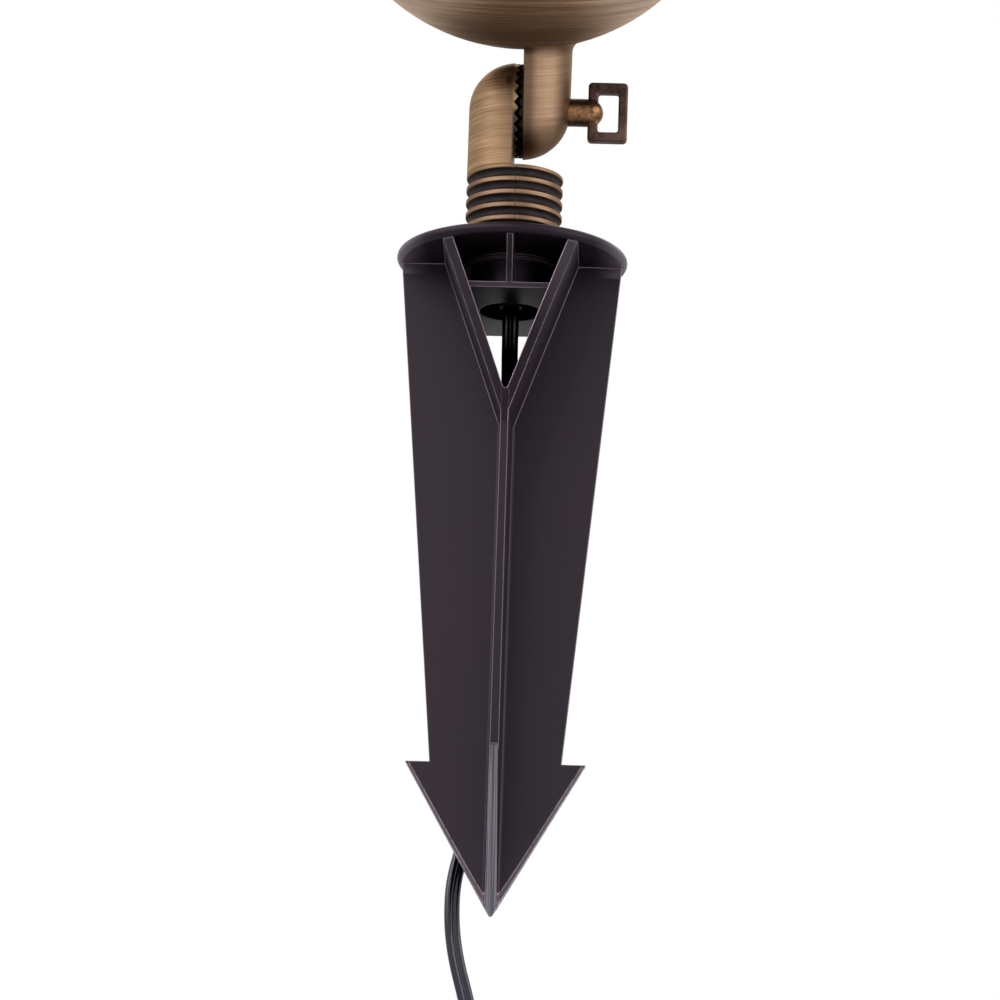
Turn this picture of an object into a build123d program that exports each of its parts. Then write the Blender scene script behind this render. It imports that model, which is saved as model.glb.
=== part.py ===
from build123d import *
import os
from math import atan, cos, dist, pi, radians, sin, sqrt, tan

# Garden spotlight on a barbed ground stake, in millimetres, +Z up.
# The origin is the centre of the flange's underside, where the stake meets the ground.
# X runs along the knuckle's pivot axis, towards the thumb screw. The front is at -Y.
# The knuckle is modelled released: its teeth just clear, so the head can be tilted.

os.makedirs("parts", exist_ok=True)

# General allowances
overrun = 4.0
seat_clearance = 0.1
running_clearance = 0.05
edge_radius = 0.3

# Stake
flange_radius = 35.0
flange_thickness = 3.5
blade_top_reach = 33.4
blade_foot_reach = 19.7
barb_reach = 26.87
barb_depth = 155.5
stake_depth = 202.0
tip_half_width = 0.4
blade_root_thickness = 3.6
blade_edge_thickness = 2.1
blade_root_fillet = 1.0
arm_top_offset = 20.2
arm_vertex_depth = 57.1
arm_thickness = 2.8
crotch_radius = 0.9
shelf_depth = 12.7
shelf_thickness = 1.72
shelf_rib_thickness = 1.8
shelf_reach = 25.4
boss_radius = 12.5
boss_collar_radius = 13.8
boss_collar_height = 1.0
boss_bore_radius = 9.46

# Neck of the lower knuckle
neck_radius = 14.7
shank_radius = 10.4
shank_length = 12.5
collar_height = 4.37
groove_count = 5
groove_width = 2.75
groove_depth = 1.2
crest_width = 1.37
disc_edge = 1.1
neck_bore_radius = 4.5
disc_floor = 2.2

# Toothed faces and pivot
pivot_above_disc = 21.64
tooth_count = 26
rest_pitches = 2
tooth_outer_radius = 14.4
tooth_inner_radius = 8.6
tooth_height = 1.31
tooth_root_lift = 0.05
mesh_clearance = 0.1
thread_pitch = 1.27
thread_radius = 3.12
thread_hole_depth = 10.6
thread_boss_radius = 4.5
wire_chamber_radius = 6.8
wire_chamber_depth = 5.8
wire_rise_radius = 2.6
face_ring_radius = 7.7
face_ring_section = 1.45

# Upper knuckle and bowl
knuckle_radius = 14.9
knuckle_top_radius = 15.25
knuckle_bowl_fillet = 4.0
bowl_radius = 63.18
bowl_clearance = 19.83
bowl_wall = 2.6
bowl_floor_radius = 13.0
head_wire_bore_radius = 2.3
head_wire_offset = 4.6
slot_half_width = 2.0
slot_foot = 4.7
rim_proud = 2.82
rim_start = 2.0
rim_height = 10.0
rim_chamfer = 1.5
rim_wall = 5.5
glass_lap = 2.0
lamp_ledge_width = 4.5
lamp_ledge_thickness = 2.5
lamp_ledge_rise = 1.0
ledge_brace = 5.5

# Pivot bush, thumb screw and its seal
bush_wall = 0.65
bush_start = 1.3
bush_flange_thickness = 1.0
shoulder_position = 9.3
shaft_radius = 4.3
nose_tip = 25.03
knob_start = 20.33
knob_length = 12.1
knob_half_height = 9.45
knob_thickness = 3.5
knob_left_bar = 3.1
knob_right_bar = 2.8
knob_top_bar = 3.3
knob_bottom_bar = 3.0
knob_corner_radius = 1.3
knob_window_radius = 0.8
knob_edge_radius = 0.6
screw_tip = 9.5
shaft_groove_position = 12.0
shaft_groove_width = 1.1
shaft_groove_depth = 0.7
shaft_ring_section = 0.76

# Lamp and front
gasket_thickness = 1.5
glass_thickness = 3.2
bezel_thickness = 3.5
bezel_lap = 5.0
bezel_chamfer = 1.2
screw_count = 3
screw_radius = 1.5
screw_length = 8.0
screw_head_radius = 2.9
screw_socket_radius = 1.1
screw_socket_depth = 1.2
lamp_play = 3.5
lamp_rim_thickness = 4.0
lamp_ring_flange = 1.5
lamp_ring_lip = 2.2
lamp_neck_inset = 2.9
lamp_lens_inset = 2.1
lamp_lens_thickness = 2.5
lamp_cup_radius = 29.5
lamp_cup_drop = 21.0
lamp_cup_height = 4.0
lamp_back_radius = 20.0
lamp_back_height = 8.5
lamp_wall = 3.1
lamp_back_wall = 2.0
driver_pocket_radius = 16.6
board_thickness = 1.6
optic_count = 3
optic_circle = 13.2
optic_foot_radius = 4.6
optic_mouth_radius = 10.8
optic_plate_thickness = 1.6
optic_height = 11.0
tab_width = 6.3
tab_thickness = 0.8
tab_length = 8.0
tab_offset = 7.0
sleeve_width = 8.2
sleeve_depth = 4.4
sleeve_foot = 2.6

# Leads, gland and grommet
lead_diameter = 1.7
lead_spacing = 2.0
neck_lead_spacing = 2.4
gland_radius = 7.4
gland_length = 6.0
gland_nose_radius = 4.6
gland_nose_tip_radius = 3.5
gland_nose_length = 4.0
grommet_radius = 3.6
grommet_length = 3.0
grommet_flange_radius = 5.0
grommet_flange_thickness = 1.2

# Flat two-core cable, its route, and the hank of its spare length
cable_width = 5.0
cable_thickness = 2.5
cable_run_share = 0.45
cable_route = [
    (0.1, 0.0, -13.0),
    (0.1, 0.0, -22.0),
    (0.1, 4.6, -29.8),
    (0.0, 17.8, -37.2),
    (-0.4, 29.5, -37.8),
    (-1.1, 37.3, -42.4),
    (-2.3, 41.7, -50.2),
    (-4.0, 41.5, -61.5),
    (-6.6, 37.2, -78.0),
    (-7.4, 31.0, -98.0),
    (-6.8, 24.2, -119.0),
    (-5.8, 18.2, -143.0),
    (-5.8, 13.4, -167.0),
    (-11.6, 10.4, -187.2),
    (-11.9, 9.8, -201.0),
    (-10.2, 9.5, -213.0),
    (-6.4, 9.3, -226.0),
    (-4.0, 9.2, -238.0),
    (-4.0, 9.2, -247.0),
]
hank_runs = 7
hank_turn_degrees = 11.3
hank_entry = 15.0
hank_run_length = 50.0
hank_half_width = 19.4
hank_step = 3.5
hank_waist = 7.0
hank_layer_step = 5.6
hank_exit = 7.0
tie_thickness = 1.2
tie_width = 4.8
tie_clearance = 0.3
tie_head_length = 6.5
tie_head_height = 5.0
core_diameter = 2.2
core_length = 13.0
core_spread = 1.6
copper_diameter = 1.2
copper_length = 8.0

# Heights and places that follow from the sizes above
shank_bottom = flange_thickness - shank_length
collar_top = flange_thickness + collar_height
groove_pitch = groove_width + crest_width
disc_top = collar_top + groove_count * groove_pitch - crest_width + disc_edge
pivot_height = disc_top + pivot_above_disc
half_gap = (tooth_height + mesh_clearance) / 2 + tooth_root_lift
tooth_mean = mesh_clearance / 2
head_shift = thread_pitch
bowl_height = pivot_height + bowl_clearance + bowl_radius
bowl_inner_radius = bowl_radius - bowl_wall
bowl_floor = bowl_height - sqrt(bowl_inner_radius**2 - bowl_floor_radius**2)
rim_radius = bowl_radius + rim_proud
glass_recess_radius = rim_radius - rim_wall
lamp_bay_radius = glass_recess_radius - glass_lap
lamp_ledge_radius = lamp_bay_radius - lamp_ledge_width
bezel_opening_radius = glass_recess_radius - bezel_lap
lamp_rim_radius = lamp_bay_radius - lamp_play
lamp_neck_radius = lamp_rim_radius - lamp_neck_inset
lamp_lens_radius = lamp_rim_radius - lamp_lens_inset
thread_hole_radius = thread_radius + running_clearance
bush_bore_radius = thread_radius + running_clearance
bush_radius = bush_bore_radius + bush_wall
shaft_hole_radius = shaft_radius + seat_clearance

pivot_axis = Axis((0, 0, pivot_height), (1, 0, 0))
pivot_section = Plane((0, 0, pivot_height), x_dir=(1, 0, 0), z_dir=(0, -1, 0))
screw_section = Plane((head_shift, 0, pivot_height), x_dir=(1, 0, 0), z_dir=(0, -1, 0))

# The head leans over the pivot by whole tooth pitches, so its teeth mesh when the clamp shuts
head_lean = radians(rest_pitches * 360 / tooth_count)
head_up = (0, -sin(head_lean), cos(head_lean))


def leaned(x, y, z):
    """Place on the upright head, carried round the pivot to where the head leans."""
    rise = z - pivot_height
    return (
        x,
        y * cos(head_lean) - rise * sin(head_lean),
        pivot_height + y * sin(head_lean) + rise * cos(head_lean),
    )


head_axis = Axis(leaned(head_shift, 0, 0), head_up)
head_section = Plane(
    leaned(head_shift, 0, 0), x_dir=(1, 0, 0), z_dir=(0, -cos(head_lean), -sin(head_lean))
)


def head_level(height):
    """Sketch plane square to the head's own axis."""
    return Plane(leaned(head_shift, 0, height), x_dir=(1, 0, 0), z_dir=head_up)


def across_pivot(position):
    """Sketch plane square to the pivot axis."""
    return Plane((position, 0, pivot_height), x_dir=(0, 1, 0), z_dir=(1, 0, 0))


# Side view of the whole stake below the flange, with two of its four barbs
blade_outline = [
    (blade_top_reach, 0),
    (blade_foot_reach, -barb_depth),
    (barb_reach, -barb_depth),
    (tip_half_width, -stake_depth),
    (-tip_half_width, -stake_depth),
    (-barb_reach, -barb_depth),
    (-blade_foot_reach, -barb_depth),
    (-blade_top_reach, 0),
]


# Fork: two slanted arms that meet below the window and end at the blades' reach
arm_slope = atan(arm_top_offset / arm_vertex_depth)
crotch_depth = arm_vertex_depth - arm_thickness / sin(arm_slope)


def window_half_width(depth):
    """Half the width between the arms' inner faces, this far below the flange."""
    return (crotch_depth - depth) * tan(arm_slope)


def window_outline(top_depth):
    """Corners of the space between the arms."""
    half_width = window_half_width(top_depth)
    return [(-half_width, -top_depth), (half_width, -top_depth), (0, -crotch_depth)]


with BuildPart() as fork:
    with BuildSketch(Plane.XZ):
        with BuildLine():
            Polyline((-arm_top_offset, 0), (arm_top_offset, 0), (0, -arm_vertex_depth), close=True)
        make_face()
    extrude(amount=blade_top_reach, both=True)
    with BuildSketch(Plane.XZ):
        reach_at_vertex = blade_top_reach - (blade_top_reach - blade_foot_reach) * (
            arm_vertex_depth / barb_depth
        )
        with BuildLine():
            Polyline(
                (0, 0),
                (blade_top_reach, 0),
                (reach_at_vertex, -arm_vertex_depth),
                (0, -arm_vertex_depth),
                close=True,
            )
        make_face()
    revolve(axis=Axis.Z, mode=Mode.INTERSECT)
    with BuildSketch(Plane.XZ) as fork_window:
        with BuildLine():
            Polyline(*window_outline(0), close=True)
        make_face()
        fillet(fork_window.vertices().sort_by(Axis.Y)[0], crotch_radius)
    extrude(amount=blade_top_reach + overrun, both=True, mode=Mode.SUBTRACT)

# Stake: cross of four drafted blades, fork, shelf, boss and flange in one moulding
with BuildPart() as stake:
    with BuildSketch() as blade_section:
        for turn in (0, 90):
            Polygon(
                (-blade_top_reach, -blade_edge_thickness / 2),
                (0, -blade_root_thickness / 2),
                (blade_top_reach, -blade_edge_thickness / 2),
                (blade_top_reach, blade_edge_thickness / 2),
                (0, blade_root_thickness / 2),
                (-blade_top_reach, blade_edge_thickness / 2),
                rotation=turn,
                align=None,
            )
        fillet(blade_section.vertices().sort_by_distance((0, 0))[:4], blade_root_fillet)
    extrude(amount=-stake_depth)
    for side_view in (Plane.XZ, Plane.YZ):
        with BuildSketch(side_view):
            with BuildLine():
                Polyline(*blade_outline, close=True)
            make_face()
        extrude(amount=blade_top_reach, both=True, mode=Mode.INTERSECT)
    with BuildSketch(Plane.XZ) as blade_window:
        with BuildLine():
            Polyline(*window_outline(shelf_depth), close=True)
        make_face()
        fillet(blade_window.vertices().sort_by(Axis.Y)[0], crotch_radius)
    extrude(amount=blade_top_reach + overrun, both=True, mode=Mode.SUBTRACT)
    with BuildSketch(Plane.YZ):
        with BuildLine():
            Polyline(
                (blade_top_reach, 0),
                (shelf_reach, -shelf_depth),
                (blade_top_reach + overrun, -shelf_depth),
                (blade_top_reach + overrun, 0),
                close=True,
            )
        make_face()
        mirror(about=Plane.YZ)
    extrude(amount=blade_root_thickness, both=True, mode=Mode.SUBTRACT)
    with BuildSketch():
        rib_side = (shelf_rib_thickness + blade_root_thickness) / 2
        rib_middle = (boss_radius + blade_top_reach + overrun) / 2
        with GridLocations(2 * rib_side, 2 * rib_middle, 2, 2):
            Rectangle(blade_root_thickness, blade_top_reach + overrun - boss_radius)
    extrude(amount=-shelf_depth, mode=Mode.SUBTRACT)
    add(fork.part)
    shelf_half_width = window_half_width(shelf_depth + shelf_thickness) + arm_thickness / 2
    with BuildSketch(Plane.XY.offset(-shelf_depth)):
        Rectangle(2 * shelf_half_width, 2 * shelf_reach)
    extrude(amount=-shelf_thickness)
    with BuildSketch():
        Circle(boss_radius)
    extrude(amount=-(shelf_depth + shelf_thickness))
    with BuildSketch():
        Circle(boss_collar_radius)
    extrude(amount=-boss_collar_height)
    with BuildSketch(Plane.XZ):
        rim_centre = flange_radius - flange_thickness / 2
        with BuildLine():
            Polyline((rim_centre, 0), (0, 0), (0, flange_thickness), (rim_centre, flange_thickness))
            ThreePointArc(
                (rim_centre, 0),
                (flange_radius, flange_thickness / 2),
                (rim_centre, flange_thickness),
            )
        make_face()
    revolve(axis=Axis.Z)
    with BuildSketch(Plane.XY.offset(flange_thickness)):
        Circle(shank_radius + seat_clearance)
    extrude(amount=-(shank_length + seat_clearance), mode=Mode.SUBTRACT)
    with BuildSketch(Plane.XY.offset(flange_thickness)):
        Circle(boss_bore_radius)
    extrude(
        amount=-(flange_thickness + shelf_depth + shelf_thickness + overrun), mode=Mode.SUBTRACT
    )
stake.part.label = "stake"
export_step(stake.part, "parts/stake.step")

# Ring of radial teeth with flat flanks that all aim at the centre of the mean face
with BuildPart() as tooth_gap:
    gap_reach = neck_radius + overrun
    half_pitch = pi / tooth_count
    crest_slope = tooth_height / 2 / tooth_outer_radius
    with BuildSketch(Plane.XY.offset(gap_reach)) as gap_mouth:
        root_level = -tooth_mean - gap_reach * crest_slope
        crest_level = -tooth_mean + gap_reach / cos(half_pitch) * crest_slope
        flank_width = gap_reach * tan(half_pitch)
        flank_rise = crest_level - root_level
        with BuildLine():
            Polyline(
                (root_level, 0),
                (crest_level + flank_rise, 2 * flank_width),
                (crest_level + flank_rise, -2 * flank_width),
                close=True,
            )
        make_face()
    loft([gap_mouth.sketch.face(), Vertex(-tooth_mean, 0, 0)])

with BuildPart() as tooth_ring:
    with BuildSketch(Plane.XZ):
        with BuildLine():
            Polyline(
                (-half_gap - tooth_height, tooth_inner_radius),
                (-tooth_mean + tooth_inner_radius * crest_slope, tooth_inner_radius),
                (-tooth_mean + tooth_outer_radius * crest_slope, tooth_outer_radius),
                (-half_gap - tooth_height, tooth_outer_radius),
                close=True,
            )
        make_face()
    revolve(axis=Axis.X)
    for tooth in range(tooth_count):
        add(tooth_gap.part.rotate(Axis.X, tooth * 360 / tooth_count), mode=Mode.SUBTRACT)

# Lower knuckle: threaded shank, ringed neck and the fixed half of the toothed joint
with BuildPart() as knuckle_base:
    with BuildSketch(Plane.XZ) as neck_profile:
        with BuildLine():
            Polyline(
                (0, disc_top),
                (0, shank_bottom),
                (shank_radius, shank_bottom),
                (shank_radius, flange_thickness),
                (neck_radius, flange_thickness),
                (neck_radius, collar_top),
            )
            for groove in range(groove_count):
                foot = collar_top + groove * groove_pitch
                head = foot + groove_width
                ThreePointArc(
                    (neck_radius, foot),
                    (neck_radius - groove_depth, (foot + head) / 2),
                    (neck_radius, head),
                )
                land = disc_edge if groove == groove_count - 1 else crest_width
                Line((neck_radius, head), (neck_radius, head + land))
            Line((neck_radius, disc_top), (0, disc_top))
        make_face()
        rim_corners = neck_profile.vertices().filter_by_position(
            Axis.X, neck_radius - edge_radius, neck_radius + edge_radius
        )
        fillet(rim_corners, edge_radius)
    revolve(axis=Axis.Z)
    with BuildSketch(Plane.XZ):
        with BuildLine():
            Polyline(
                (0, pivot_height + neck_radius),
                (0, disc_top - edge_radius),
                (neck_radius - edge_radius, disc_top - edge_radius),
                (neck_radius - edge_radius, disc_top),
                (neck_radius, disc_top + edge_radius),
                (neck_radius, pivot_height),
            )
            RadiusArc((neck_radius, pivot_height), (0, pivot_height + neck_radius), -neck_radius)
        make_face()
    revolve(axis=Axis.Z)
    with BuildSketch(Plane.XY.offset(disc_top)):
        with Locations((-half_gap, 0)):
            Rectangle(2 * neck_radius, 3 * neck_radius, align=(Align.MIN, Align.CENTER))
    extrude(amount=pivot_above_disc + neck_radius + overrun, mode=Mode.SUBTRACT)
    add(tooth_ring.part.moved(Location((0, 0, pivot_height))))
    with BuildSketch(across_pivot(-half_gap)):
        Circle(wire_chamber_radius)
        Circle(thread_boss_radius, mode=Mode.SUBTRACT)
    extrude(amount=-wire_chamber_depth, mode=Mode.SUBTRACT)
    with BuildSketch(across_pivot(-half_gap)):
        Circle(thread_hole_radius)
    extrude(amount=-thread_hole_depth, mode=Mode.SUBTRACT)
    neck_bore_top = disc_top - disc_floor
    with BuildSketch(Plane.XY.offset(shank_bottom)):
        Circle(neck_bore_radius)
    extrude(amount=neck_bore_top - shank_bottom, mode=Mode.SUBTRACT)
    with BuildSketch(Plane.XY.offset(shank_bottom)):
        Circle(gland_radius + seat_clearance)
    extrude(amount=gland_length, mode=Mode.SUBTRACT)
    wire_rise_offset = half_gap + wire_chamber_depth - wire_rise_radius * 3 / 4
    with BuildSketch(Plane.XY.offset(neck_bore_top - 2 * wire_rise_radius)):
        with Locations((-wire_rise_offset, 0)):
            Circle(wire_rise_radius)
    extrude(
        amount=pivot_above_disc + disc_floor + 2 * wire_rise_radius - thread_boss_radius,
        mode=Mode.SUBTRACT,
    )
knuckle_base.part.label = "knuckle_base"
export_step(knuckle_base.part, "parts/knuckle_base.step")

# Rubber ring on the lower face, inside the teeth
with BuildPart() as face_ring:
    with BuildSketch(pivot_section):
        with Locations((-half_gap + face_ring_section / 2, face_ring_radius)):
            Circle(face_ring_section / 2)
    revolve(axis=pivot_axis)
face_ring.part.label = "face_ring"
export_step(face_ring.part, "parts/face_ring.step")

# Rubber gland in the foot of the neck, with the nose that the cable leaves by
with BuildPart() as cable_gland:
    with BuildSketch(Plane.XZ):
        with BuildLine():
            Polyline(
                (0, shank_bottom + gland_length),
                (gland_radius, shank_bottom + gland_length),
                (gland_radius, shank_bottom),
                (gland_nose_radius, shank_bottom),
                (gland_nose_tip_radius, shank_bottom - gland_nose_length),
                (0, shank_bottom - gland_nose_length),
                close=True,
            )
        make_face()
    revolve(axis=Axis.Z)
cable_gland.part.label = "cable_gland"
export_step(cable_gland.part, "parts/cable_gland.step")

# Two insulated wires from the gland up the neck into the lower wire chamber
with BuildPart() as neck_leads:
    lead_foot = shank_bottom + gland_length
    lead_turn = neck_bore_top - 3 * lead_diameter
    chamber_end = pivot_height - thread_boss_radius - lead_diameter / 2
    for side in (-1, 1):
        beside = side * neck_lead_spacing / 2
        with BuildLine() as neck_lead_path:
            FilletPolyline(
                (0, beside, lead_foot),
                (0, beside, lead_turn - 4 * lead_diameter),
                (-wire_rise_offset, beside, lead_turn + 2 * lead_diameter),
                (-wire_rise_offset, beside, chamber_end),
                radius=3 * lead_diameter,
            )
        with BuildSketch(Plane.XY.offset(lead_foot)):
            with Locations((0, beside)):
                Circle(lead_diameter / 2)
        sweep(path=neck_lead_path.wire())
neck_leads.part.label = "neck_leads"
export_step(neck_leads.part, "parts/neck_leads.step")


# Free stretch of the flat cable, out of the gland, over the fork and down the back
def cable_radii(points):
    """Largest arc that each corner's two runs allow."""
    radii = []
    for before, corner, after in zip(points, points[1:], points[2:]):
        arriving = Vector(corner) - Vector(before)
        leaving = Vector(after) - Vector(corner)
        half_turn = radians(arriving.get_angle(leaving)) / 2
        radii.append(cable_run_share * min(arriving.length, leaving.length) / tan(half_turn))
    return radii


with BuildPart() as supply_cable:
    corner_radii = cable_radii(cable_route)
    with BuildLine() as cable_path:
        FilletPolyline(*cable_route, radius=corner_radii)
    with BuildSketch(Plane(cable_route[0], x_dir=(1, 0, 0), z_dir=(0, 0, -1))):
        SlotOverall(cable_width, cable_thickness)
    sweep(path=cable_path.wire())
supply_cable.part.label = "supply_cable"
export_step(supply_cable.part, "parts/supply_cable.step")
cable_section = (cable_width - cable_thickness) * cable_thickness + pi * cable_thickness**2 / 4
cable_length = cable_path.wire().length
print("cable corner radii", [round(radius, 1) for radius in corner_radii])
print("cable length", round(cable_length, 1))
print("cable volume over section x length", supply_cable.part.volume / (cable_section * cable_length))

# Hank of the spare cable: runs in two layers, drawn in at the waist
hank_across = Vector(-sin(radians(hank_turn_degrees)), cos(radians(hank_turn_degrees)), 0)
hank_layer_way = Vector(cos(radians(hank_turn_degrees)), sin(radians(hank_turn_degrees)), 0)
hank_top_level = cable_route[-1][2] - hank_entry
hank_foot_level = hank_top_level - hank_run_length
hank_middle = Vector(*cable_route[-1]) - hank_across * hank_half_width
hank_middle.Z = 0


def hank_point(across, layer, height):
    """Place in the hank: sideways, through its layers, and up."""
    place = hank_middle + hank_across * across + hank_layer_way * (layer * hank_layer_step)
    return Vector(place.X, place.Y, height)


def hank_run(number):
    """Start, waist and end of one run, from the outer loops inwards and out again."""
    side = 1 if number % 2 == 0 else -1
    inward = min(number, hank_runs - 1 - number)
    reach = hank_half_width - inward * hank_step / 2
    start_layer = 0 if number <= hank_runs // 2 else 1
    end_layer = 0 if number < hank_runs // 2 else 1
    start_level = hank_top_level if side == 1 else hank_foot_level
    end_level = hank_foot_level if side == 1 else hank_top_level
    start = hank_point(side * reach, start_layer, start_level)
    waist = hank_point(
        side * (reach - hank_waist), (start_layer + end_layer) / 2, (start_level + end_level) / 2
    )
    end = hank_point(side * reach, end_layer, end_level)
    return [start, waist, end]


def arc_places(number):
    """Places where the arcs of one run, and of the half turn after it, meet."""
    start, waist, end = hank_run(number)
    places = [start, (start + waist) / 2, waist, (waist + end) / 2, end]
    if number < hank_runs - 1:
        next_start = hank_run(number + 1)[0]
        onward = Vector(0, 0, end.Z - start.Z).normalized()
        places.append((end + next_start) / 2 + onward * ((next_start - end).length / 2))
    return places


with BuildPart() as cable_hank:
    entry = Vector(*cable_route[-1])
    hank_places = [place for number in range(hank_runs) for place in arc_places(number)]
    cable_end = hank_point(hank_half_width, 1, hank_foot_level - hank_exit)
    with BuildLine() as hank_path:
        arc = Line(entry, hank_places[0])
        for place, next_place in zip(hank_places, hank_places[1:]):
            arc = TangentArc(place, next_place, tangent=arc % 1)
        Line(hank_places[-1], cable_end)
    with BuildSketch(Plane(entry, x_dir=hank_layer_way, z_dir=(0, 0, -1))):
        SlotOverall(cable_width, cable_thickness)
    sweep(path=hank_path.wire())
cable_hank.part.label = "cable_hank"
export_step(cable_hank.part, "parts/cable_hank.step")


def least_gap(wire, spacing, apart):
    """Least clear distance between stretches of a flat cable that lie apart along it."""
    stations = int(wire.length / spacing)
    core_offset = (cable_width - cable_thickness) / 2
    rows = []
    for station in range(stations + 1):
        place = wire.position_at(station / stations)
        rows.append([tuple(place + hank_layer_way * (core_offset * part)) for part in (-1, 0, 1)])
    least = wire.length
    for first in range(len(rows)):
        for second in range(first + int(apart / spacing), len(rows)):
            for one in rows[first]:
                for other in rows[second]:
                    least = min(least, dist(one, other))
    return least - cable_thickness


hank_length = hank_path.wire().length
print("hank length", round(hank_length, 1), "whole cable", round(hank_length + cable_length, 1))
print("hank volume over section x length", cable_hank.part.volume / (cable_section * hank_length))
print("least gap in the hank", round(least_gap(hank_path.wire(), cable_thickness / 2, cable_width * 4), 2))

# Tie round the hank's waist, with its head on the outer layer
with BuildPart() as hank_tie:
    tie_near = hank_half_width - hank_waist + cable_thickness / 2 + tie_clearance
    tie_far = tie_near - hank_step / 2
    tie_side = cable_width / 2 + tie_clearance
    tie_level = (hank_top_level + hank_foot_level) / 2
    tie_plane = Plane(
        hank_point(0, 0, tie_level - tie_width / 2), x_dir=hank_across, z_dir=(0, 0, 1)
    )
    tie_across = tie_near + tie_far
    tie_deep = hank_layer_step + 2 * tie_side
    with BuildSketch(tie_plane):
        with Locations(((tie_near - tie_far) / 2, -hank_layer_step / 2)):
            bend = cable_thickness / 2
            RectangleRounded(
                tie_across + 2 * tie_thickness, tie_deep + 2 * tie_thickness, bend + tie_thickness
            )
            RectangleRounded(tie_across, tie_deep, bend, mode=Mode.SUBTRACT)
    extrude(amount=tie_width)
    with BuildSketch(tie_plane):
        with Locations(((tie_near - tie_far) / 2, -hank_layer_step - tie_side)):
            Rectangle(tie_head_length, tie_head_height, align=(Align.CENTER, Align.MAX))
    extrude(amount=tie_width)
hank_tie.part.label = "hank_tie"
export_step(hank_tie.part, "parts/hank_tie.step")

# The two cores, parted at the cable's end
with BuildPart() as core_ends:
    for side in (-1, 1):
        core_start = cable_end + hank_layer_way * (side * core_diameter / 2 * (1 + seat_clearance))
        core_mid = core_start + hank_layer_way * (side * core_spread / 2) - Vector(0, 0, core_length / 2)
        core_stop = core_start + hank_layer_way * (side * core_spread) - Vector(0, 0, core_length)
        with BuildLine() as core_path:
            TangentArc(core_start, core_mid, tangent=(0, 0, -1))
            TangentArc(core_mid, core_stop, tangent=core_path.line % 1)
        with BuildSketch(Plane(core_start, z_dir=(0, 0, -1))):
            Circle(core_diameter / 2)
        sweep(path=core_path.wire())
core_ends.part.label = "core_ends"
export_step(core_ends.part, "parts/core_ends.step")

# Bare copper past each core's insulation
with BuildPart() as stripped_ends:
    for side in (-1, 1):
        core_start = cable_end + hank_layer_way * (side * core_diameter / 2 * (1 + seat_clearance))
        core_stop = core_start + hank_layer_way * (side * core_spread) - Vector(0, 0, core_length)
        with BuildSketch(Plane(core_stop, z_dir=(0, 0, -1))):
            Circle(copper_diameter / 2)
        extrude(amount=copper_length)
stripped_ends.part.label = "stripped_ends"
export_step(stripped_ends.part, "parts/stripped_ends.step")

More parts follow.
